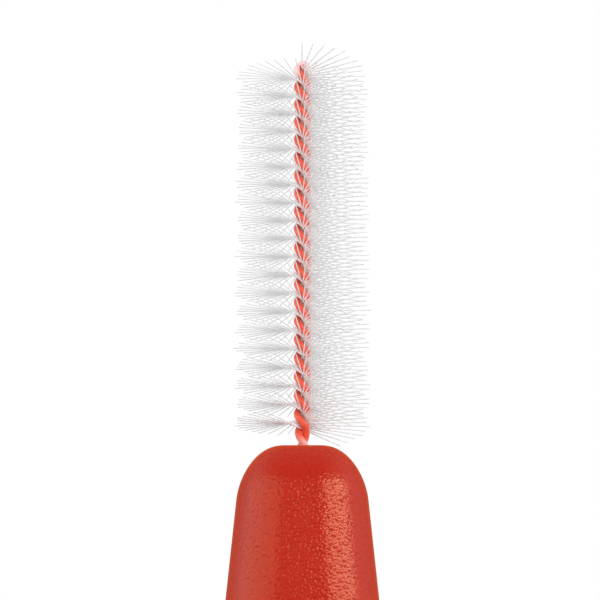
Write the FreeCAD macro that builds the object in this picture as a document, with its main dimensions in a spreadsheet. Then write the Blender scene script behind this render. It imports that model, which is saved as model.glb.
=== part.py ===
"""Interdental brush: a moulded handle holding a twisted, plastic-coated wire that grips rows of fine filaments.

Millimetres. +Z runs along the brush axis with the brush head at the top, -Y is the front face of the grip,
and the origin is the centre of the handle's tail end.
"""
import FreeCAD, Part
import math
import os

import Sketcher
from FreeCAD import Vector

SIZES = [
    # Handle, from the tail end up: each length starts where the one before it ends.
    ("tail_diameter", 3.4, "round tail that the protective cap is pushed on"),
    ("tail_length", 11.0, "tail end to the shoulder that stops the cap"),
    ("tail_chamfer", 0.4, "edge of the tail end"),
    ("stem_half_width", 2.15, "just above the cap shoulder"),
    ("stem_half_depth", 1.9, ""),
    ("waist_rise", 6.0, "cap shoulder to the narrowest place of the stem"),
    ("waist_half_width", 1.95, ""),
    ("waist_half_depth", 1.75, ""),
    ("flare_rise", 15.0, "waist to the widest place of the thumb grip"),
    ("grip_half_width", 3.1, "at the widest place of the grip"),
    ("grip_half_depth", 1.85, ""),
    ("taper_rise", 13.6, "widest place of the grip to the root of the nose"),
    ("nose_root_half_width", 2.11, ""),
    ("nose_root_half_depth", 1.75, ""),
    ("nose_rise", 3.05, "root of the nose to the start of its rounded shoulder"),
    ("nose_half_width", 1.79, ""),
    ("nose_half_depth", 1.6, ""),
    ("shoulder_rise", 1.35, "height of the rounded shoulder"),
    ("nose_top_half_width", 0.69, "flat that the wire comes out of"),
    ("nose_top_half_depth", 0.5, ""),
    ("nose_top_corner", 0.15, "corner radius of that flat"),
    ("grip_side_flat", 0.85, "half of the flat stretch on each narrow side, from the stem to the grip"),
    ("nose_side_flat", 0.35, "the same on the nose"),
    # Ribs across both faces of the grip.
    ("rib_count", 9, ""),
    ("rib_pitch", 1.5, ""),
    ("rib_width", 0.7, ""),
    ("rib_height", 0.25, "above the face of the grip"),
    ("rib_length", 3.2, ""),
    # Twisted wire.
    ("steel_diameter", 0.14, ""),
    ("coat_wall", 0.04, "plastic round the steel"),
    ("twist_pitch", 1.084, "length of one full turn, left-handed"),
    ("anchor_depth", 2.4, "twisted wire moulded into the nose"),
    ("neck_length", 0.61, "nose to the lowest filament"),
    # Filaments.
    ("brush_diameter", 3.64, "over the filament tips"),
    ("brush_length", 10.73, "lowest to top filament"),
    ("filament_thickness", 0.026, ""),
    # Clearances.
    ("filament_clearance", 0.0025, "filament to the next one along the wire"),
    ("nip_clearance", 0.003, "filament to each leg of the wire"),
    ("core_clearance", 0.002, "steel to its coat"),
    ("seat_clearance", 0.005, "coat to the moulded handle"),
]

# Facets of the wire and groups of filaments, a matter of drawing and not of size.
COAT_SIDES = 8
CORE_SIDES = 5
STEPS_PER_TURN = 10
BEND_STEPS = 6
FAN_COUNT = 20
# Sections of the handle between its named places: steps of each stretch, and angles round the nose's shoulder.
STEM_STEPS = 3
FLARE_STEPS = 6
TAPER_STEPS = 5
SHOULDER_ANGLES = (15, 30, 45, 60, 75, 90)
VOLUME_TOLERANCE = 0.02

doc = FreeCAD.newDocument("interdental_brush")
sizes = doc.addObject("Spreadsheet::Sheet", "sizes")
for row, (alias, value, note) in enumerate(SIZES, start=1):
    sizes.set("A%d" % row, alias)
    sizes.set("B%d" % row, str(value))
    sizes.set("C%d" % row, note)
    sizes.setAlias("B%d" % row, alias)
doc.recompute()


def size(alias):
    return float(sizes.get(alias))


# Named places of the handle, as expressions on the sheet: height, half width, half depth and side flat.
STEM = ("sizes.tail_length", "sizes.stem_half_width", "sizes.stem_half_depth", "sizes.grip_side_flat")
WAIST = (STEM[0] + " + sizes.waist_rise", "sizes.waist_half_width", "sizes.waist_half_depth", STEM[3])
GRIP = (WAIST[0] + " + sizes.flare_rise", "sizes.grip_half_width", "sizes.grip_half_depth", STEM[3])
NOSE_ROOT = (GRIP[0] + " + sizes.taper_rise", "sizes.nose_root_half_width", "sizes.nose_root_half_depth",
             "sizes.nose_side_flat")
NOSE = (NOSE_ROOT[0] + " + sizes.nose_rise", "sizes.nose_half_width", "sizes.nose_half_depth", NOSE_ROOT[3])


def origin_feature(body, role):
    return next(item for item in body.Origin.OriginFeatures if item.Role == role)


def new_sketch(body, name, plane):
    sketch = body.newObject("Sketcher::SketchObject", name)
    sketch.AttachmentSupport = (origin_feature(body, plane), "")
    sketch.MapMode = "FlatFace"
    return sketch


def bind(sketch, name, constraint, expression):
    """Add a named dimension to a sketch and tie it to the sheet."""
    index = sketch.addConstraint(constraint)
    sketch.renameConstraint(index, name)
    sketch.setExpression("Constraints." + name, expression)


def rounded_section(name, height, half_width, half_depth, corner):
    """Rounded rectangle square to the axis, one section of the handle. All four sizes are expressions."""
    sketch = doc.addObject("Sketcher::SketchObject", name)
    sketch.setExpression("Placement.Base.z", height)
    across = float(sketch.evalExpression(half_width))
    deep = float(sketch.evalExpression(half_depth))
    radius = float(sketch.evalExpression(corner))
    flat_x = across - radius
    flat_y = deep - radius
    line = [
        Part.LineSegment(Vector(across, -flat_y, 0), Vector(across, flat_y, 0)),
        Part.LineSegment(Vector(flat_x, deep, 0), Vector(-flat_x, deep, 0)),
        Part.LineSegment(Vector(-across, flat_y, 0), Vector(-across, -flat_y, 0)),
        Part.LineSegment(Vector(-flat_x, -deep, 0), Vector(flat_x, -deep, 0)),
    ]
    centres = [(flat_x, flat_y), (-flat_x, flat_y), (-flat_x, -flat_y), (flat_x, -flat_y)]
    for k in range(4):
        circle = Part.Circle(Vector(centres[k][0], centres[k][1], 0), Vector(0, 0, 1), radius)
        arc = Part.ArcOfCircle(circle, k * math.pi / 2, (k + 1) * math.pi / 2)
        sketch.addGeometry(line[k])
        sketch.addGeometry(arc)
    for k in range(4):
        side, bend, following = 2 * k, 2 * k + 1, (2 * k + 2) % 8
        sketch.addConstraint(Sketcher.Constraint("Tangent", side, 2, bend, 1))
        sketch.addConstraint(Sketcher.Constraint("Tangent", bend, 2, following, 1))
    for side, direction in ((0, "Vertical"), (2, "Horizontal"), (4, "Vertical"), (6, "Horizontal")):
        sketch.addConstraint(Sketcher.Constraint(direction, side))
    for bend in (3, 5, 7):
        sketch.addConstraint(Sketcher.Constraint("Equal", 1, bend))
    bind(sketch, "right", Sketcher.Constraint("DistanceX", -1, 1, 0, 1, across), half_width)
    bind(sketch, "back", Sketcher.Constraint("DistanceY", -1, 1, 2, 1, deep), half_depth)
    bind(sketch, "left", Sketcher.Constraint("DistanceX", 4, 1, -1, 1, across), half_width)
    bind(sketch, "front", Sketcher.Constraint("DistanceY", 6, 1, -1, 1, deep), half_depth)
    bind(sketch, "corner", Sketcher.Constraint("Radius", 1, radius), corner)
    return sketch


def blend(start, end, share):
    """Expression for the value a share of the way from one expression to another."""
    return "(%s) + ((%s) - (%s)) * %.6f" % (start, end, start, share)


def handle_section(name, place):
    """Section of the handle whose corners leave the named flat on its narrow sides."""
    height, half_width, half_depth, side_flat = place
    return rounded_section(name, height, half_width, half_depth, "(%s) - (%s)" % (half_depth, side_flat))


def stretch(name, start, end, steps, easing):
    """Sections from one named place up to just below the next, eased so that the sides curve."""
    sections = []
    for k in range(steps):
        share = k / steps
        eased = easing(share)
        height = blend(start[0], end[0], share)
        outline = [blend(low, high, eased) for low, high in zip(start[1:], end[1:])]
        sections.append(handle_section("%s_%d" % (name, k), [height] + outline))
    return sections


def shoulder_section(angle):
    """Section of the nose's shoulder, which closes in along a quarter ellipse to the flat top."""
    closed = 1 - math.cos(math.radians(angle))
    height = NOSE[0] + " + sizes.shoulder_rise * sin(%d deg)" % angle
    half_width = blend(NOSE[1], "sizes.nose_top_half_width", closed)
    half_depth = blend(NOSE[2], "sizes.nose_top_half_depth", closed)
    corner = blend(NOSE[2] + " - " + NOSE[3], "sizes.nose_top_corner", closed)
    return rounded_section("shoulder_%d" % angle, height, half_width, half_depth, corner)


def make_shaft():
    """Main form of the handle, lofted from the cap shoulder to the flat top of the nose."""
    sections = stretch("stem", STEM, WAIST, STEM_STEPS, lambda share: 1 - (1 - share) ** 2)
    sections += stretch("flare", WAIST, GRIP, FLARE_STEPS, lambda share: share ** 2 * (3 - 2 * share))
    sections += stretch("taper", GRIP, NOSE_ROOT, TAPER_STEPS, lambda share: share ** 2)
    sections += [handle_section("nose_root", NOSE_ROOT), handle_section("nose", NOSE)]
    sections += [shoulder_section(angle) for angle in SHOULDER_ANGLES]
    shaft = doc.addObject("Part::Loft", "shaft")
    shaft.Sections = sections
    shaft.Solid = True
    shaft.Ruled = True
    doc.recompute()
    return shaft


def add_tail(body):
    """Round tail under the cap shoulder, with a chamfered end."""
    sketch = new_sketch(body, "tail_outline", "XY_Plane")
    sketch.addGeometry(Part.Circle(Vector(), Vector(0, 0, 1), size("tail_diameter") / 2))
    sketch.addConstraint(Sketcher.Constraint("Coincident", 0, 3, -1, 1))
    bind(sketch, "diameter", Sketcher.Constraint("Diameter", 0, size("tail_diameter")), "sizes.tail_diameter")
    pad = body.newObject("PartDesign::Pad", "tail")
    pad.Profile = sketch
    pad.setExpression("Length", "sizes.tail_length")
    doc.recompute()
    rim = ["Edge%d" % (k + 1) for k, edge in enumerate(pad.Shape.Edges) if edge.BoundBox.ZMax < 1e-6]
    chamfer = body.newObject("PartDesign::Chamfer", "tail_end")
    chamfer.Base = (pad, rim)
    chamfer.setExpression("Size", "sizes.tail_chamfer")
    return chamfer


def add_ribs(body):
    """Half-round ribs across both faces of the grip: one bar right through, repeated up the grip."""
    sketch = new_sketch(body, "rib_outline", "YZ_Plane")
    reach = "sizes.grip_half_depth + sizes.rib_height - sizes.rib_width / 2"
    lowest = GRIP[0] + " - (sizes.rib_count - 1) * sizes.rib_pitch / 2"
    half = float(sketch.evalExpression(reach))
    height = float(sketch.evalExpression(lowest))
    radius = size("rib_width") / 2
    sketch.addGeometry(Part.LineSegment(Vector(-half, height - radius, 0), Vector(half, height - radius, 0)))
    front = Part.Circle(Vector(half, height, 0), Vector(0, 0, 1), radius)
    sketch.addGeometry(Part.ArcOfCircle(front, -math.pi / 2, math.pi / 2))
    sketch.addGeometry(Part.LineSegment(Vector(half, height + radius, 0), Vector(-half, height + radius, 0)))
    back = Part.Circle(Vector(-half, height, 0), Vector(0, 0, 1), radius)
    sketch.addGeometry(Part.ArcOfCircle(back, math.pi / 2, 3 * math.pi / 2))
    for k in range(4):
        sketch.addConstraint(Sketcher.Constraint("Tangent", k, 2, (k + 1) % 4, 1))
    sketch.addConstraint(Sketcher.Constraint("Horizontal", 0))
    bind(sketch, "front", Sketcher.Constraint("DistanceX", -1, 1, 1, 3, half), reach)
    bind(sketch, "back", Sketcher.Constraint("DistanceX", 3, 3, -1, 1, half), reach)
    bind(sketch, "height", Sketcher.Constraint("DistanceY", -1, 1, 1, 3, height), lowest)
    bind(sketch, "radius", Sketcher.Constraint("Radius", 1, radius), "sizes.rib_width / 2")
    pad = body.newObject("PartDesign::Pad", "rib")
    pad.Profile = sketch
    pad.SideType = "Symmetric"
    pad.setExpression("Length", "sizes.rib_length")
    ribs = body.newObject("PartDesign::LinearPattern", "ribs")
    ribs.Originals = [pad]
    ribs.Direction = (origin_feature(body, "Z_Axis"), [""])
    ribs.setExpression("Length", "(sizes.rib_count - 1) * sizes.rib_pitch")
    ribs.setExpression("Occurrences", "sizes.rib_count")
    body.Tip = ribs
    return ribs


# Twisted wire and filaments, which share one helix.
nose_top = float(sizes.evalExpression(NOSE[0] + " + sizes.shoulder_rise"))
filaments_per_turn = math.floor(size("twist_pitch") / (size("filament_thickness") + size("filament_clearance")))
filament_step = size("twist_pitch") / filaments_per_turn
filament_count = math.floor(size("brush_length") / filament_step) + 1
lowest_filament = nose_top + size("neck_length")
top_filament = lowest_filament + (filament_count - 1) * filament_step
coat_radius = size("steel_diameter") / 2 + size("coat_wall")


def corner_radius(radius, sides):
    """Corner radius of the regular polygon with the same area as a circle."""
    return radius * math.sqrt(2 * math.pi / (sides * math.sin(2 * math.pi / sides)))


nip = size("filament_thickness") / 2 + size("nip_clearance")
leg_radius = (corner_radius(coat_radius, COAT_SIDES) + nip) / math.cos(math.pi / STEPS_PER_TURN)
bend_start = top_filament + nip
wire_end = nose_top - size("anchor_depth")


def twist(height):
    """Direction of the filament at a height: the top one points to the front, and the twist is left-handed."""
    return -math.pi / 2 + 2 * math.pi * (top_filament - height) / size("twist_pitch")


def twisted(offset, height):
    """Point of the flat hairpin, carried round by the twist. The legs stand square to the filaments."""
    angle = twist(height) + math.pi / 2
    return Vector(offset * math.cos(angle), offset * math.sin(angle), height)


def hairpin_path():
    """Straight runs up one leg, over the bend at the tip and down the other leg."""
    runs = math.ceil((bend_start - wire_end) * STEPS_PER_TURN / size("twist_pitch"))
    heights = [wire_end + (bend_start - wire_end) * k / runs for k in range(runs + 1)]
    up = [twisted(leg_radius, height) for height in heights]
    over = []
    for k in range(1, BEND_STEPS):
        angle = math.pi * k / BEND_STEPS
        over.append(twisted(leg_radius * math.cos(angle), bend_start + leg_radius * math.sin(angle)))
    down = [twisted(-leg_radius, height) for height in reversed(heights)]
    return up + over + down


def mitred_rings(path, radius, sides):
    """Outlines of a faceted wire at each point of its path, square at the ends and mitred in between."""
    runs = [(path[k + 1] - path[k]).normalize() for k in range(len(path) - 1)]
    outward = Vector(path[0].x, path[0].y, 0)
    across = (outward - runs[0] * outward.dot(runs[0])).normalize()
    beside = runs[0].cross(across)
    reach = corner_radius(radius, sides)
    angles = [2 * math.pi * (k + 0.5) / sides for k in range(sides)]
    ring = [path[0] + across * (reach * math.cos(a)) + beside * (reach * math.sin(a)) for a in angles]
    rings = [ring]
    for k, run in enumerate(runs):
        onward = runs[min(k + 1, len(runs) - 1)]
        mitre = run + onward
        ring = [corner + run * ((path[k + 1] - corner).dot(mitre) / run.dot(mitre)) for corner in ring]
        rings.append(ring)
    return rings


def path_length(path):
    return sum((path[k + 1] - path[k]).Length for k in range(len(path) - 1))


def check_volume(shape, expected):
    if abs(shape.Volume / expected - 1) > VOLUME_TOLERANCE:
        raise RuntimeError("wire volume %.4f, expected %.4f" % (shape.Volume, expected))


def wire_along(path, radius, sides):
    """Solid wire with a faceted section along straight runs."""
    rings = mitred_rings(path, radius, sides)
    wire = Part.makeLoft([Part.makePolygon(ring + ring[:1]) for ring in rings], True, True)
    check_volume(wire, math.pi * radius ** 2 * path_length(path))
    return wire


def tube_along(path, radius, sides, bore_radius, bore_sides):
    """Wall between two faceted wires on one path, closed by a ring at each end."""
    outlines = [Part.makePolygon(ring + ring[:1]) for ring in mitred_rings(path, radius, sides)]
    hollows = [Part.makePolygon(ring + ring[:1]) for ring in mitred_rings(path, bore_radius, bore_sides)]
    outside = Part.makeLoft(outlines, False, True)
    inside = Part.makeLoft(hollows, False, True).reversed()
    ends = [Part.makeFace([outlines[k], hollows[k]], "Part::FaceMakerBullseye") for k in (0, -1)]
    walls = Part.makeCompound(outside.Faces + inside.Faces + ends)
    walls.sewShape()
    tube = Part.Solid(walls.Shells[0])
    check_volume(tube, math.pi * (radius ** 2 - bore_radius ** 2) * path_length(path))
    return tube


def solid_object(name, shape):
    item = doc.addObject("Part::Feature", name)
    item.Shape = shape
    item.Placement = FreeCAD.Placement()
    return item


def cut(name, base, tool):
    item = doc.addObject("Part::Cut", name)
    item.Base = base
    item.Tool = tool
    return item


def make_handle(path):
    """Moulded handle, with the seat that the plastic forms round the end of each leg of the wire."""
    body = doc.addObject("PartDesign::Body", "moulding")
    body.BaseFeature = make_shaft()
    add_tail(body)
    add_ribs(body)
    seated = [point for point in path if point.z < lowest_filament]
    legs = (seated[:len(seated) // 2], seated[len(seated) // 2:])
    seats = [wire_along(leg, coat_radius + size("seat_clearance"), COAT_SIDES) for leg in legs]
    return cut("handle", body, solid_object("wire_seats", Part.makeCompound(seats)))


def make_coating(path):
    """Plastic coat of the wire, open at its two ends inside the handle."""
    bore_radius = size("steel_diameter") / 2 + size("core_clearance")
    return solid_object("wire_coating", tube_along(path, coat_radius, COAT_SIDES, bore_radius, CORE_SIDES))


def make_core(path):
    """Steel wire inside the coat."""
    return solid_object("core_wire", wire_along(path, size("steel_diameter") / 2, CORE_SIDES))


def filament(index):
    """One straight filament, square to the axis, clamped at its middle. Index 0 is the top one."""
    height = top_filament - index * filament_step
    length = size("brush_diameter")
    side = size("filament_thickness")
    bar = Part.makeBox(length, side, side, Vector(-length / 2, -side / 2, -side / 2))
    bar.rotate(Vector(), Vector(0, 0, 1), math.degrees(twist(height)))
    bar.translate(Vector(0, 0, height))
    return bar


def make_fans():
    """Filaments in groups of about half a turn, from the tip down."""
    fans = []
    for group in range(FAN_COUNT):
        first = group * filament_count // FAN_COUNT
        after = (group + 1) * filament_count // FAN_COUNT
        bars = [filament(index) for index in range(first, after)]
        fans.append(solid_object("filament_fan_%02d" % (group + 1), Part.makeCompound(bars)))
    return fans


hairpin = hairpin_path()
nodes = [make_handle(hairpin), make_coating(hairpin), make_core(hairpin)] + make_fans()
doc.recompute()

for item in doc.Objects:
    if "Invalid" in item.State or "Error" in item.State:
        raise RuntimeError("%s failed: %s" % (item.Label, item.State))
for node in nodes:
    if node.Shape.isNull() or not node.Shape.isValid():
        raise RuntimeError("%s has no valid shape" % node.Label)

leg_gap = 2 * (leg_radius * math.cos(math.pi / STEPS_PER_TURN) - corner_radius(coat_radius, COAT_SIDES))
print("%d filaments, %d per turn" % (filament_count, filaments_per_turn))
print("gap between the legs %.4f mm" % leg_gap)
print("bend radius %.3f mm, wire radius %.3f mm" % (leg_radius, coat_radius))
os.makedirs("parts", exist_ok=True)
for node in nodes:
    node.Shape.exportStep("parts/%s.step" % node.Label)
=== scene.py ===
import collections
import math

import bmesh
import bpy
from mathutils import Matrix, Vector


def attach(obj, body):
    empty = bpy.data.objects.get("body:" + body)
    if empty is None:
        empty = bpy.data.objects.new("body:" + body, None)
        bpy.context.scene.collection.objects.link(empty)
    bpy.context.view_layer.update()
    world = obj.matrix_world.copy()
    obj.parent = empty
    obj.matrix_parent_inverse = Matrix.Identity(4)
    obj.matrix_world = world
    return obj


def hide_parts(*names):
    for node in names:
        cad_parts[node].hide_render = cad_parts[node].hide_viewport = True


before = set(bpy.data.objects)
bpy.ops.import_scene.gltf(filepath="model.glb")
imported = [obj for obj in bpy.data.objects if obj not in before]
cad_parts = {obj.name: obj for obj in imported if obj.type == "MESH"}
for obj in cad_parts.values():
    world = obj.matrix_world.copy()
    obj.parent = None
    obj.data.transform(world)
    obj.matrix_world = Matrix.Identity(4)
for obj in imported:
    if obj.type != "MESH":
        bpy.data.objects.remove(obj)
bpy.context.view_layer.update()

# Handle moulding
# One injection-moulded piece of opaque red plastic: a round tail for the cap, a waist, a flat thumb grip
# and a tapering nose whose rounded top closes on the twisted wire. The mould is spark-eroded to a fine grain.
MM = 0.001
Place = collections.namedtuple("Place", "height half_width half_depth side_flat")
STEM = Place(11.0, 2.15, 1.9, 0.85)
WAIST = Place(17.0, 1.95, 1.75, 0.85)
GRIP = Place(32.0, 3.1, 1.85, 0.85)
NOSE_ROOT = Place(45.6, 2.066, 1.75, 0.2)
NOSE = Place(48.5, 1.785, 1.6, 0.2)
NOSE_TOP = 49.95
NOSE_TOP_HALF_WIDTH = 0.67
NOSE_TOP_HALF_DEPTH = 0.5
NOSE_TOP_CORNER = 0.15
TAIL_RADIUS = 1.7
TAIL_CHAMFER = 0.4
STEM_CHAMFER = 0.1
RING_POINTS = 96
BODY_ROWS = 90
SHOULDER_ROWS = 28
SAME_POINT = 0.0001
CREASE_ANGLE = 40
GRAIN_SIZE = 0.085
GRAIN_DEPTH = 0.011
# The grain's hollows are a darker red than its domes: painted shade in the hollows.
RED_PAINTED_SHADE_IN_HOLLOWS = (0.33, 0.001, 0.0, 1)
RED_ON_DOMES = (0.38, 0.004, 0.0, 1)
ORANGE_GLOSS = (1.0, 0.55, 0.32, 1)
RED_SHEEN = (1.0, 0.26, 0.06, 1)


def mix(low, high, share):
    return low + (high - low) * share


def smooth_step(share):
    return share ** 2 * (3 - 2 * share)


# Each stretch of the moulding, with the way in which its width and depth change
STRETCHES = (
    (STEM, WAIST, lambda share: 1 - (1 - share) ** 2),
    (WAIST, GRIP, smooth_step),
    (GRIP, NOSE_ROOT, lambda share: share ** 2),
    (NOSE_ROOT, NOSE, lambda share: share),
)


def handle_section(height):
    """Half width, half depth and corner radius of the moulding at a height, in millimetres."""
    above = [stretch for stretch in STRETCHES if height <= stretch[1].height]
    low, high, easing = above[0] if above else STRETCHES[-1]
    share = easing((height - low.height) / (high.height - low.height))
    half_width, half_depth, side_flat = (mix(below, over, share) for below, over in zip(low[1:], high[1:]))
    corner = half_depth - side_flat
    if height > NOSE.height:
        rise = min((height - NOSE.height) / (NOSE_TOP - NOSE.height), 1)
        open_share = math.sqrt(1 - rise ** 2)
        half_width = mix(NOSE_TOP_HALF_WIDTH, half_width, open_share)
        half_depth = mix(NOSE_TOP_HALF_DEPTH, half_depth, open_share)
        corner = mix(NOSE_TOP_CORNER, corner, open_share)
    return half_width, half_depth, corner


def rounded_ring(height, half_width, half_depth, corner):
    """Points round a rounded rectangle, evenly spaced in angle on its four corners."""
    ring = []
    quarter = RING_POINTS // 4
    flat_x, flat_y = half_width - corner, half_depth - corner
    for side in range(4):
        turn = side * math.pi / 2
        sign_x = 1 if side in (0, 3) else -1
        sign_y = 1 if side in (0, 1) else -1
        for k in range(quarter):
            angle = turn + math.pi / 2 * k / (quarter - 1)
            x = sign_x * flat_x + corner * math.cos(angle)
            y = sign_y * flat_y + corner * math.sin(angle)
            ring.append((x * MM, y * MM, height * MM))
    return ring


def handle_rings():
    """Outlines of the moulding from the end of the tail to the flat top of the nose."""
    tail = [(0.0, TAIL_RADIUS - TAIL_CHAMFER), (TAIL_CHAMFER, TAIL_RADIUS), (STEM.height, TAIL_RADIUS)]
    rings = [rounded_ring(height, radius, radius, radius) for height, radius in tail]
    rings.append(rounded_ring(STEM.height, *(size - STEM_CHAMFER for size in handle_section(STEM.height))))
    heights = [STEM.height + STEM_CHAMFER]
    body_start = STEM.height + 2 * STEM_CHAMFER
    heights += [mix(body_start, NOSE.height, k / BODY_ROWS) for k in range(BODY_ROWS + 1)]
    rises = [math.sin(math.pi / 2 * k / SHOULDER_ROWS) for k in range(1, SHOULDER_ROWS + 1)]
    heights += [mix(NOSE.height, NOSE_TOP, rise) for rise in rises]
    return rings + [rounded_ring(height, *handle_section(height)) for height in heights]


def mesh_from_rings(name, rings):
    """Closed mesh through rings of equal count, capped at both ends."""
    count = len(rings[0])
    points = [point for ring in rings for point in ring]
    faces = []
    for row in range(len(rings) - 1):
        for k in range(count):
            after = (k + 1) % count
            low, high = row * count, (row + 1) * count
            faces.append((low + k, low + after, high + after, high + k))
    faces.append(tuple(reversed(range(count))))
    faces.append(tuple(range((len(rings) - 1) * count, len(rings) * count)))
    mesh = bpy.data.meshes.new(name)
    mesh.from_pydata(points, [], faces)
    shell = bmesh.new()
    shell.from_mesh(mesh)
    bmesh.ops.remove_doubles(shell, verts=shell.verts, dist=SAME_POINT * MM)
    shell.to_mesh(mesh)
    shell.free()
    return mesh


def show(name, data):
    """New object in the scene, made of a mesh, a curve, a light or a camera."""
    piece = bpy.data.objects.new(name, data)
    bpy.context.scene.collection.objects.link(piece)
    return piece


def feed(tree, socket, value):
    """Link another node's output to an input socket, or set the socket to a plain value."""
    if isinstance(value, bpy.types.NodeSocket):
        tree.links.new(value, socket)
    else:
        socket.default_value = value


def set_inputs(tree, node, values):
    """Feed several inputs of a node by their names."""
    for label, value in values.items():
        feed(tree, node.inputs[label], value)


def add_node(tree, kind, values=None, **settings):
    """New node with its settings and its named inputs."""
    node = tree.nodes.new(kind)
    for label, value in settings.items():
        setattr(node, label, value)
    set_inputs(tree, node, values or {})
    return node


def math_node(tree, operation, first, second=0.0):
    node = add_node(tree, "ShaderNodeMath", operation=operation)
    feed(tree, node.inputs[0], first)
    feed(tree, node.inputs[1], second)
    return node.outputs[0]


def ramp(tree, value, span, start=0.0, end=1.0, shape="LINEAR"):
    """Number that goes from start to end as a value crosses a span, and stays there outside it."""
    low, high = span
    limits = {"Value": value, "From Min": low, "From Max": high, "To Min": start, "To Max": end}
    return add_node(tree, "ShaderNodeMapRange", limits, interpolation_type=shape).outputs["Result"]


def colour_ramp(tree, value, *stops):
    """Colour between stops in rising order, each a position and a colour."""
    node = add_node(tree, "ShaderNodeValToRGB", {"Fac": value})
    marks = node.color_ramp.elements
    for k, (position, colour) in enumerate(stops):
        mark = marks[k] if k < len(marks) else marks.new(position)
        mark.position = position
        mark.color = colour
    return node.outputs["Color"]


def spark_grain_group():
    """Height of the spark-eroded grain: small domes of a given size, packed side by side."""
    group = bpy.data.node_groups.new("spark_eroded_grain", "ShaderNodeTree")
    group.interface.new_socket("Grain Size", in_out="INPUT", socket_type="NodeSocketFloat")
    group.interface.new_socket("Height", in_out="OUTPUT", socket_type="NodeSocketFloat")
    given = group.nodes.new("NodeGroupInput").outputs
    cells = add_node(group, "ShaderNodeTexVoronoi", {
        "Vector": group.nodes.new("ShaderNodeTexCoord").outputs["Object"],
        "Scale": math_node(group, "DIVIDE", 1.0, given["Grain Size"]),
        "Smoothness": 0.4,
    }, feature="SMOOTH_F1")
    from_middle = cells.outputs["Distance"]
    dome = math_node(group, "SUBTRACT", 1.0, math_node(group, "MULTIPLY", from_middle, from_middle))
    add_node(group, "NodeGroupOutput", {"Height": dome})
    return group


def new_material(name):
    """New material, with its node tree and its shader."""
    material = bpy.data.materials.new(name)
    material.use_nodes = True
    return material, material.node_tree, material.node_tree.nodes["Principled BSDF"]


# Seen at a slant the grain hides its own gloss, so the plastic is glossy in front and dull at its edges.
handle_plastic, tree, shader = new_material("handle_red_plastic")
grain = add_node(tree, "ShaderNodeGroup", {"Grain Size": GRAIN_SIZE * MM}, node_tree=spark_grain_group())
grain_height = grain.outputs["Height"]
slant = add_node(tree, "ShaderNodeLayerWeight", {"Blend": 0.5}).outputs["Facing"]
bump = add_node(tree, "ShaderNodeBump", {
    "Strength": 1.0,
    "Distance": GRAIN_DEPTH * MM,
    "Height": grain_height,
})
# Base colour darker in the grain's hollows than on its domes: painted shade in the hollows.
set_inputs(tree, shader, {
    "Base Color": colour_ramp(tree, grain_height, (0.5, RED_PAINTED_SHADE_IN_HOLLOWS), (1.0, RED_ON_DOMES)),
    "Roughness": ramp(tree, slant, span=(0.2, 0.7), start=0.24, end=0.8),
    "Specular IOR Level": 0.45,
    "Specular Tint": ORANGE_GLOSS,
    "Sheen Weight": 0.5,
    "Sheen Roughness": 0.4,
    "Sheen Tint": RED_SHEEN,
    "Normal": bump.outputs["Normal"],
})

handle = show("handle_moulding", mesh_from_rings("handle_moulding", handle_rings()))
handle.data.shade_smooth()
handle.data.set_sharp_from_angle(angle=math.radians(CREASE_ANGLE))
handle.data.materials.append(handle_plastic)
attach(handle, "root")
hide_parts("handle")

# Grip ribs
# Half-round ribs across both faces of the thumb grip, cut into the same mould as the handle, so that they are
# one piece with it. They keep the thumb from sliding.
RIB_COUNT = 9
RIB_PITCH = 1.5
RIB_RADIUS = 0.35
RIB_HEIGHT = 0.25
RIB_LENGTH = 3.2


def node_tree(name, inputs):
    """Geometry Nodes tree with the given named inputs, and the identifier of each input's socket."""
    tree = bpy.data.node_groups.new(name, "GeometryNodeTree")
    sockets = {}
    for label, kind in inputs.items():
        socket = tree.interface.new_socket(label, in_out="INPUT", socket_type="NodeSocket" + kind)
        sockets[label] = socket.identifier
    tree.interface.new_socket("Geometry", in_out="OUTPUT", socket_type="NodeSocketGeometry")
    return tree, sockets


def vector(tree, x, y, z):
    return add_node(tree, "ShaderNodeCombineXYZ", {"X": x, "Y": y, "Z": z}).outputs["Vector"]


def row_of_points(tree, given):
    """Upright row of points from the lowest height, evenly spaced."""
    return add_node(tree, "GeometryNodeMeshLine", {
        "Count": given["Count"],
        "Start Location": vector(tree, 0, 0, given["Lowest Height"]),
        "Offset": vector(tree, 0, 0, given["Spacing"]),
    }, mode="OFFSET").outputs["Mesh"]


def finish_tree(tree, geometry, material):
    """Realize the instances, shade them smooth and give them their material."""
    realized = add_node(tree, "GeometryNodeRealizeInstances", {"Geometry": geometry})
    smooth = add_node(tree, "GeometryNodeSetShadeSmooth", {"Geometry": realized.outputs["Geometry"]})
    dressed = add_node(tree, "GeometryNodeSetMaterial", {
        "Geometry": smooth.outputs["Geometry"],
        "Material": material,
    })
    add_node(tree, "NodeGroupOutput", {"Geometry": dressed.outputs["Geometry"]})


def evaluated_mesh(piece):
    """Plain mesh of a piece as its modifiers or its curve settings make it."""
    return bpy.data.meshes.new_from_object(piece.evaluated_get(bpy.context.evaluated_depsgraph_get()))


def grown(name, tree, sockets, values):
    """Plain mesh object made by a node tree with the given values of its named inputs."""
    blank = bpy.data.meshes.new(name)
    piece = show(name, blank)
    grow = piece.modifiers.new("grow", "NODES")
    grow.node_group = tree
    for label, value in values.items():
        grow[sockets[label]] = value
    piece.data = evaluated_mesh(piece)
    piece.modifiers.clear()
    bpy.data.meshes.remove(blank)
    piece.data.name = name
    return piece


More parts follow.
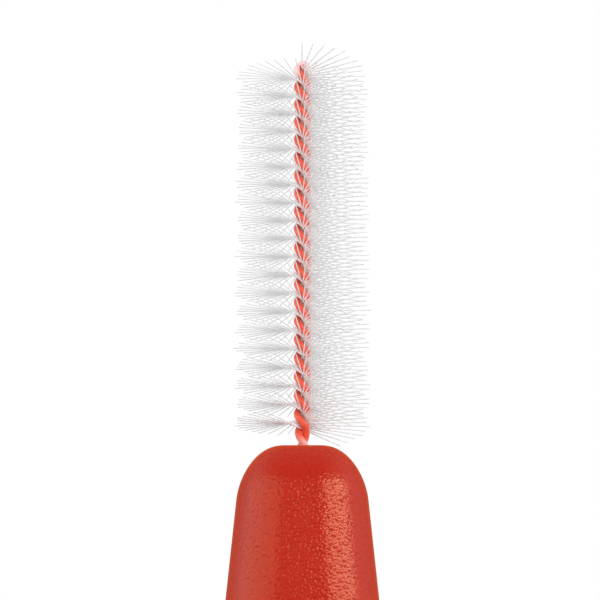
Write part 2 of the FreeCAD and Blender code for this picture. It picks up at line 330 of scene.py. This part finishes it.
def rib_tree():
    """Round-ended bars in a row on two opposite faces: a sphere pulled apart at its middle makes each bar."""
    tree, sockets = node_tree("grip_rib_rows", {
        "Count": "Int", "Lowest Height": "Float", "Spacing": "Float", "Length": "Float", "Radius": "Float",
        "Face Depth": "Float", "Material": "Material"})
    given = tree.nodes.new("NodeGroupInput").outputs
    ball = add_node(tree, "GeometryNodeMeshUVSphere", {"Segments": 16, "Rings": 9, "Radius": given["Radius"]})
    place = tree.nodes.new("GeometryNodeInputPosition").outputs["Position"]
    upright = add_node(tree, "ShaderNodeSeparateXYZ", {"Vector": place}).outputs["Z"]
    half_length = math_node(tree, "MULTIPLY", given["Length"], 0.5)
    half_straight = math_node(tree, "SUBTRACT", half_length, given["Radius"])
    pull = math_node(tree, "MULTIPLY", math_node(tree, "SIGN", upright), half_straight)
    pulled = add_node(tree, "GeometryNodeSetPosition", {
        "Geometry": ball.outputs["Mesh"],
        "Offset": vector(tree, 0, 0, pull),
    })
    bar = add_node(tree, "GeometryNodeTransform", {
        "Geometry": pulled.outputs["Geometry"],
        "Rotation": (0, math.pi / 2, 0),
    })

    points = row_of_points(tree, given)
    joined = tree.nodes.new("GeometryNodeJoinGeometry")
    for side in (-1, 1):
        depth = math_node(tree, "MULTIPLY", given["Face Depth"], side)
        on_face = add_node(tree, "GeometryNodeSetPosition", {
            "Geometry": points,
            "Offset": vector(tree, 0, depth, 0),
        })
        bars = add_node(tree, "GeometryNodeInstanceOnPoints", {
            "Points": on_face.outputs["Geometry"],
            "Instance": bar.outputs["Geometry"],
        })
        feed(tree, joined.inputs["Geometry"], bars.outputs["Instances"])
    finish_tree(tree, joined.outputs["Geometry"], given["Material"])
    return tree, sockets


rib_rows, rib_inputs = rib_tree()
ribs = grown("grip_ribs", rib_rows, rib_inputs, {
    "Count": RIB_COUNT,
    "Lowest Height": (GRIP.height - (RIB_COUNT - 1) * RIB_PITCH / 2) * MM,
    "Spacing": RIB_PITCH * MM,
    "Length": RIB_LENGTH * MM,
    "Radius": RIB_RADIUS * MM,
    "Face Depth": (GRIP.half_depth + RIB_HEIGHT - RIB_RADIUS) * MM,
    "Material": handle_plastic,
})
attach(ribs, "root")
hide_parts("handle")

# Wire coat
# A skin of glossy orange-red plastic on the steel wire, which is bent to a hairpin over the top filament and
# twisted left-handed. Round the outside of the bend the coat is painted pale pink as a painted highlight, and
# where it enters the nose as painted light.
COAT_RADIUS = 0.102
NIP = 0.07
BARE_NIP = 0.002
NECK_CLOSING = 0.16
TWIST_PITCH = 1.084
WIRE_END = 47.6
FILAMENT_THICKNESS = 0.044
FILAMENTS_PER_TURN = 38
FILAMENT_COUNT = 377
LOWEST_FILAMENT = 50.61
FILAMENT_STEP = TWIST_PITCH / FILAMENTS_PER_TURN
TOP_FILAMENT = LOWEST_FILAMENT + (FILAMENT_COUNT - 1) * FILAMENT_STEP
LEG_RADIUS = COAT_RADIUS + NIP / 2
BEND_START = TOP_FILAMENT + FILAMENT_THICKNESS / 2
STREAK_SIZE = 0.2
DEEP_ORANGE_RED = (0.74, 0.056, 0.022, 1)
LIGHT_ORANGE_RED = (0.86, 0.105, 0.040, 1)
# Pale pink painted on the coat: a painted highlight round the bend and painted light just above the nose.
PAINTED_LIGHT_PINK = (0.90, 0.55, 0.53, 1)
NOSE_PAINTED_LIGHT = 0.6
# Spans over which the painted highlight and painted light come and go: outwards round the bend, up to the
# bend, and up from the nose
ROUND_THE_BEND = (0.05 * MM, 0.11 * MM)
UP_TO_THE_BEND = (-0.4 * MM, -0.2 * MM)
UP_FROM_THE_NOSE = ((NOSE_TOP + 0.1) * MM, (NOSE_TOP + 0.5) * MM)


def twist(height):
    """Direction of the filament at a height, left-handed, the top one towards the front."""
    return -math.pi / 2 + 2 * math.pi * (TOP_FILAMENT - height) / TWIST_PITCH


def leg_offset(height):
    """Distance of each leg from the axis: the filaments hold the legs apart, and below them they close up."""
    closed = min(max((LOWEST_FILAMENT - height) / NECK_CLOSING + 0.5, 0), 1)
    return mix(LEG_RADIUS, COAT_RADIUS + BARE_NIP / 2, smooth_step(closed))


def hairpin_points(steps_per_turn, bend_steps):
    """Points up one leg of the twist, round the bend and down the other leg."""
    def carried(offset, height):
        angle = twist(height) + math.pi / 2
        return (offset * math.cos(angle) * MM, offset * math.sin(angle) * MM, height * MM)

    count = round((BEND_START - WIRE_END) / TWIST_PITCH * steps_per_turn)
    heights = [mix(WIRE_END, BEND_START, k / count) for k in range(count + 1)]
    points = [carried(leg_offset(height), height) for height in heights]
    for k in range(1, bend_steps):
        angle = math.pi * k / bend_steps
        points.append(carried(LEG_RADIUS * math.cos(angle), BEND_START + LEG_RADIUS * math.sin(angle)))
    return points + [carried(-leg_offset(height), height) for height in reversed(heights)]


def tube(name, points, radius, sides_level):
    """Mesh of a round wire along the given points, closed at both ends."""
    curve = bpy.data.curves.new(name, "CURVE")
    curve.dimensions = "3D"
    curve.bevel_depth = radius
    curve.bevel_resolution = sides_level
    curve.use_fill_caps = True
    run = curve.splines.new("POLY")
    run.points.add(len(points) - 1)
    for k, point in enumerate(points):
        run.points[k].co = (*point, 1)
    holder = show(name + "_path", curve)
    mesh = evaluated_mesh(holder)
    bpy.data.objects.remove(holder)
    mesh.name = name
    return mesh


def noise(tree, size):
    """Soft uneven patches of a given size in millimetres."""
    place = tree.nodes.new("ShaderNodeTexCoord").outputs["Object"]
    return add_node(tree, "ShaderNodeTexNoise", {"Vector": place, "Scale": 1 / (size * MM)}).outputs["Fac"]


coat_plastic, tree, shader = new_material("coat_orange_red_plastic")
place = tree.nodes.new("ShaderNodeTexCoord").outputs["Object"]
axes = add_node(tree, "ShaderNodeSeparateXYZ", {"Vector": place}).outputs
above_bend = math_node(tree, "SUBTRACT", axes["Z"], BEND_START * MM)
outwards = vector(tree, axes["X"], 0, math_node(tree, "MAXIMUM", above_bend, 0.0))
from_eye = add_node(tree, "ShaderNodeVectorMath", {"Vector": outwards}, operation="LENGTH").outputs["Value"]
# Painted highlight: the outside of the bend is painted pale pink.
round_bend = ramp(tree, from_eye, ROUND_THE_BEND, shape="SMOOTHSTEP")
near_bend = ramp(tree, above_bend, UP_TO_THE_BEND, shape="SMOOTHSTEP")
# Painted light: the coat just above the nose is painted pale pink, as if lit directly.
near_nose = ramp(tree, axes["Z"], UP_FROM_THE_NOSE, start=NOSE_PAINTED_LIGHT, end=0.0, shape="SMOOTHSTEP")
bend_highlight = math_node(tree, "MULTIPLY", round_bend, near_bend)
coat_with_painted_light = add_node(tree, "ShaderNodeMix", {
    "Factor": math_node(tree, "MAXIMUM", bend_highlight, near_nose),
    "A": colour_ramp(tree, noise(tree, STREAK_SIZE), (0.0, DEEP_ORANGE_RED), (1.0, LIGHT_ORANGE_RED)),
    "B": PAINTED_LIGHT_PINK,
}, data_type="RGBA")
set_inputs(tree, shader, {"Base Color": coat_with_painted_light.outputs["Result"], "Roughness": 0.3})

coat_path = hairpin_points(steps_per_turn=28, bend_steps=16)
coat = show("wire_coat", tube("wire_coat", coat_path, COAT_RADIUS * MM, sides_level=4))
coat.data.shade_smooth()
coat.data.materials.append(coat_plastic)
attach(coat, "root")
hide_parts("wire_coating")

# Steel core
# The hard-drawn steel wire inside the coat, on the same hairpin. It carries the brush, clamps the filaments
# and has its two ends moulded into the nose.
STEEL_RADIUS = 0.07
DRAWING_MARK_SIZE = 0.05
STEEL_GREY = (0.6, 0.6, 0.6, 1)

drawn_steel, tree, shader = new_material("drawn_steel")
set_inputs(tree, shader, {
    "Base Color": STEEL_GREY,
    "Metallic": 1.0,
    "Roughness": ramp(tree, noise(tree, DRAWING_MARK_SIZE), span=(0.0, 1.0), start=0.25, end=0.45),
})

core_path = hairpin_points(steps_per_turn=20, bend_steps=12)
core = show("steel_core", tube("steel_core", core_path, STEEL_RADIUS * MM, sides_level=2))
core.data.shade_smooth()
core.data.materials.append(drawn_steel)
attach(core, "root")
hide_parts("core_wire")

# Filaments
# Fine drawn nylon, laid as one layer between the two legs before twisting, so that the twist spreads it
# into a spiral. Each filament crosses the nip and stands out on both sides with a slight bow.
BRUSH_RADIUS = 1.9
SHORTEST_SHARE = 0.91
TIP_RISE = 0.01
TIP_TAPER = 0.46
STRAY_DEGREES = 0.2
TOP_LAG_DEGREES = 3.4
ARM_STEPS = 5
ARM_SIDES = 6
SEED = 7
TURN_DRAW, TILT_DRAW, LENGTH_DRAW, PLAY_DRAW = 1, 2, 3, 5
SIDE_DRAWS = 10
FAN_COUNT = 20
# Near the wire the nylon's pale colour is painted whiter still: painted light that lifts the shade among the
# filament roots.
NYLON_WHITE_PAINTED_LIGHT_AT_WIRE = (0.93, 0.97, 0.98, 1)
CLEAR_GREY = (0.68, 0.69, 0.695, 1)
GREY_AT_TIP = (0.57, 0.58, 0.585, 1)


def filament_arm(tree, given):
    """Half a filament from the nip to its tip, tapered, with the share along it kept for the colour."""
    half_reach = math_node(tree, "MULTIPLY", given["Reach"], 0.5)
    bow = add_node(tree, "GeometryNodeCurveQuadraticBezier", {
        "Resolution": ARM_STEPS,
        "Start": (0, 0, 0),
        "Middle": vector(tree, half_reach, 0, 0),
        "End": vector(tree, given["Reach"], 0, given["Tip Rise"]),
    })
    along = tree.nodes.new("GeometryNodeSplineParameter").outputs["Factor"]
    marked = add_node(tree, "GeometryNodeStoreNamedAttribute", {
        "Geometry": bow.outputs["Curve"],
        "Name": "along",
        "Value": along,
    }, data_type="FLOAT", domain="POINT")
    section = add_node(tree, "GeometryNodeCurvePrimitiveCircle", {
        "Resolution": ARM_SIDES,
        "Radius": math_node(tree, "MULTIPLY", given["Thickness"], 0.5),
    })
    narrowing = math_node(tree, "MULTIPLY", along, given["Taper"])
    return add_node(tree, "GeometryNodeCurveToMesh", {
        "Curve": marked.outputs["Geometry"],
        "Profile Curve": section.outputs["Curve"],
        "Scale": math_node(tree, "SUBTRACT", 1.0, narrowing),
        "Fill Caps": True,
    }).outputs["Mesh"]


def filament_tree():
    """Row of filaments with two arms each, every filament turned a little further than the one below."""
    tree, sockets = node_tree("filament_spiral", {
        "Count": "Int", "Lowest Height": "Float", "Spacing": "Float", "Turn Each": "Float",
        "First Direction": "Float", "Top Lag": "Float", "Lagging Count": "Float", "Reach": "Float",
        "Shortest": "Float", "Tip Rise": "Float", "Thickness": "Float", "Taper": "Float",
        "Nip Play": "Float", "Stray Angle": "Float", "Seed": "Int", "Material": "Material"})
    given = tree.nodes.new("NodeGroupInput").outputs

    def drawn(low, high, number):
        """Random number for each filament; draws with the same number are alike."""
        return add_node(tree, "FunctionNodeRandomValue", {
            "Min": low,
            "Max": high,
            "Seed": math_node(tree, "ADD", given["Seed"], number),
        }, data_type="FLOAT").outputs["Value"]

    index = tree.nodes.new("GeometryNodeInputIndex").outputs["Index"]
    turned = math_node(tree, "MULTIPLY", index, given["Turn Each"])
    turned = math_node(tree, "ADD", turned, given["First Direction"])
    topmost = math_node(tree, "SUBTRACT", given["Count"], 1)
    first_lagging = math_node(tree, "SUBTRACT", topmost, given["Lagging Count"])
    lag = ramp(tree, index, (first_lagging, topmost), start=0.0, end=given["Top Lag"])
    turned = math_node(tree, "SUBTRACT", turned, lag)
    stray_back = math_node(tree, "MULTIPLY", given["Stray Angle"], -1)
    points = row_of_points(tree, given)
    arm = filament_arm(tree, given)
    joined = tree.nodes.new("GeometryNodeJoinGeometry")
    for side in range(2):
        own = SIDE_DRAWS * side
        turn = math_node(tree, "ADD", turned, drawn(stray_back, given["Stray Angle"], own + TURN_DRAW))
        turn = math_node(tree, "ADD", turn, math.pi * side)
        tilt = drawn(stray_back, given["Stray Angle"], own + TILT_DRAW)
        length = drawn(given["Shortest"], 1.0, own + LENGTH_DRAW)
        arms = add_node(tree, "GeometryNodeInstanceOnPoints", {
            "Points": points,
            "Instance": arm,
            "Rotation": vector(tree, 0, tilt, turn),
            "Scale": vector(tree, length, 1, 1),
        })
        play = math_node(tree, "MULTIPLY", drawn(-1.0, 1.0, PLAY_DRAW), given["Nip Play"])
        across = math_node(tree, "MULTIPLY", play, 1 - 2 * side)
        aside = add_node(tree, "GeometryNodeTranslateInstances", {
            "Instances": arms.outputs["Instances"],
            "Translation": vector(tree, 0, across, 0),
        })
        feed(tree, joined.inputs["Geometry"], aside.outputs["Instances"])
    finish_tree(tree, joined.outputs["Geometry"], given["Material"])
    return tree, sockets


nylon, tree, shader = new_material("drawn_nylon")
along = add_node(tree, "ShaderNodeAttribute", attribute_name="along").outputs["Fac"]
# Whiter near the wire as painted light against the shade among the roots, then grey towards the tips.
set_inputs(tree, shader, {
    "Base Color": colour_ramp(tree, along, (0.12, NYLON_WHITE_PAINTED_LIGHT_AT_WIRE), (0.35, CLEAR_GREY), (1.0, GREY_AT_TIP)),
    "Roughness": 0.3,
    "IOR": 1.53,
    "Subsurface Weight": 1.0,
    "Subsurface Radius": (1, 1, 1),
    "Subsurface Scale": FILAMENT_THICKNESS * MM,
})

spiral, spiral_inputs = filament_tree()
filaments = grown("filaments", spiral, spiral_inputs, {
    "Count": FILAMENT_COUNT,
    "Lowest Height": LOWEST_FILAMENT * MM,
    "Spacing": FILAMENT_STEP * MM,
    "Turn Each": -2 * math.pi / FILAMENTS_PER_TURN,
    "First Direction": twist(LOWEST_FILAMENT) + math.radians(TOP_LAG_DEGREES),
    "Top Lag": math.radians(TOP_LAG_DEGREES),
    "Lagging Count": FILAMENTS_PER_TURN / 2,
    "Reach": BRUSH_RADIUS * MM,
    "Shortest": SHORTEST_SHARE,
    "Tip Rise": TIP_RISE * MM,
    "Thickness": FILAMENT_THICKNESS * MM,
    "Taper": TIP_TAPER,
    "Nip Play": (NIP - FILAMENT_THICKNESS) / 2 * MM,
    "Stray Angle": math.radians(STRAY_DEGREES),
    "Seed": SEED,
    "Material": nylon,
})
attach(filaments, "root")
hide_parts(*["filament_fan_%02d" % (k + 1) for k in range(FAN_COUNT)])

# Studio
# A pale floor under the tail, which fades to white far away, a white surround and three soft lamps, all
# given in metres. The camera stands a little below the brush head, placed in millimetres and in pixels.
FLOOR_HALF = 3.0
FLOOR_FADE = (0.1, 0.35)
FLOOR_PAINT = (0.86, 0.86, 0.86, 1)
SURROUND_WHITE = (1, 1, 1, 1)
SURROUND_LIGHT = 0.44
LIT_POINT = Vector((0, 0, 0.05))
LAMP_DISTANCE = 0.4
CAMERA_DISTANCE = 95.0
CAMERA_DEGREES_BELOW = 20.5
SENSOR_WIDTH = 36
PICTURE_PIXELS = 600
PIXELS_PER_MM = 36
BRUSH_PIXELS_ABOVE_CENTRE = 54.3
BRUSH_PIXELS_RIGHT_OF_CENTRE = 2.3


def shown_as_background(tree):
    """One for rays that show the background, straight, by gloss or through glass, and zero for light."""
    path = tree.nodes.new("ShaderNodeLightPath").outputs
    direct = math_node(tree, "MAXIMUM", path["Is Camera Ray"], path["Is Transmission Ray"])
    return math_node(tree, "MAXIMUM", direct, path["Is Glossy Ray"])


floor_paint, tree, paint = new_material("floor_pale_paint")
set_inputs(tree, paint, {"Base Color": FLOOR_PAINT, "Roughness": 0.7})
place = tree.nodes.new("ShaderNodeTexCoord").outputs["Object"]
from_tail = add_node(tree, "ShaderNodeVectorMath", {"Vector": place}, operation="LENGTH").outputs["Value"]
far_floor = ramp(tree, from_tail, FLOOR_FADE, shape="SMOOTHSTEP")
fading = add_node(tree, "ShaderNodeMixShader", {
    "Fac": math_node(tree, "MULTIPLY", far_floor, shown_as_background(tree)),
})
feed(tree, fading.inputs[1], paint.outputs["BSDF"])
feed(tree, fading.inputs[2], tree.nodes.new("ShaderNodeEmission").outputs["Emission"])
set_inputs(tree, tree.nodes["Material Output"], {"Surface": fading.outputs["Shader"]})

floor_corners = [(x * FLOOR_HALF, y * FLOOR_HALF, 0) for x, y in ((-1, -1), (1, -1), (1, 1), (-1, 1))]
floor_mesh = bpy.data.meshes.new("floor")
floor_mesh.from_pydata(floor_corners, [], [(0, 1, 2, 3)])
floor = show("floor", floor_mesh)
floor.data.materials.append(floor_paint)

surround = bpy.data.worlds.new("white_surround")
bpy.context.scene.world = surround
surround.use_nodes = True
tree = surround.node_tree
level = ramp(tree, shown_as_background(tree), span=(0.0, 1.0), start=SURROUND_LIGHT, end=1.0)
set_inputs(tree, tree.nodes["Background"], {"Color": SURROUND_WHITE, "Strength": level})


def soft_lamp(name, azimuth, elevation, width, height, watts):
    """Rectangular lamp facing the brush head; azimuth 0 is the front, positive to the right."""
    turn, rise = math.radians(azimuth), math.radians(elevation)
    outward = Vector((math.sin(turn) * math.cos(rise), -math.cos(turn) * math.cos(rise), math.sin(rise)))
    light = bpy.data.lights.new(name, "AREA")
    light.shape = "RECTANGLE"
    light.size = width
    light.size_y = height
    light.energy = watts
    lamp = show(name, light)
    lamp.location = LIT_POINT + outward * LAMP_DISTANCE
    lamp.rotation_mode = "QUATERNION"
    lamp.rotation_quaternion = outward.to_track_quat("Z", "Y")


soft_lamp("right_softbox", azimuth=43, elevation=27, width=0.44, height=0.07, watts=1.15)
soft_lamp("right_fill", azimuth=80, elevation=26, width=0.9, height=0.2, watts=0.25)
soft_lamp("left_softbox", azimuth=-63, elevation=26, width=0.9, height=0.2, watts=1.28)

camera = bpy.data.cameras.new("camera")
camera.sensor_width = SENSOR_WIDTH
camera.clip_start = 0.001
camera.clip_end = 20
camera.lens = SENSOR_WIDTH * CAMERA_DISTANCE / (PICTURE_PIXELS / PIXELS_PER_MM)
below = math.radians(CAMERA_DEGREES_BELOW)
sight = Vector((0, math.cos(below), math.sin(below)))
up = Vector((0, -math.sin(below), math.cos(below)))
brush_middle = Vector((0, 0, (LOWEST_FILAMENT + TOP_FILAMENT) / 2))
aim = brush_middle - up * (BRUSH_PIXELS_ABOVE_CENTRE / PIXELS_PER_MM)
aim.x -= BRUSH_PIXELS_RIGHT_OF_CENTRE / PIXELS_PER_MM
viewer = show("camera", camera)
viewer.location = (aim - sight * CAMERA_DISTANCE) * MM
viewer.rotation_mode = "QUATERNION"
viewer.rotation_quaternion = sight.to_track_quat("-Z", "Y")
bpy.context.scene.camera = viewer

bpy.context.scene.view_settings.view_transform = "Standard"
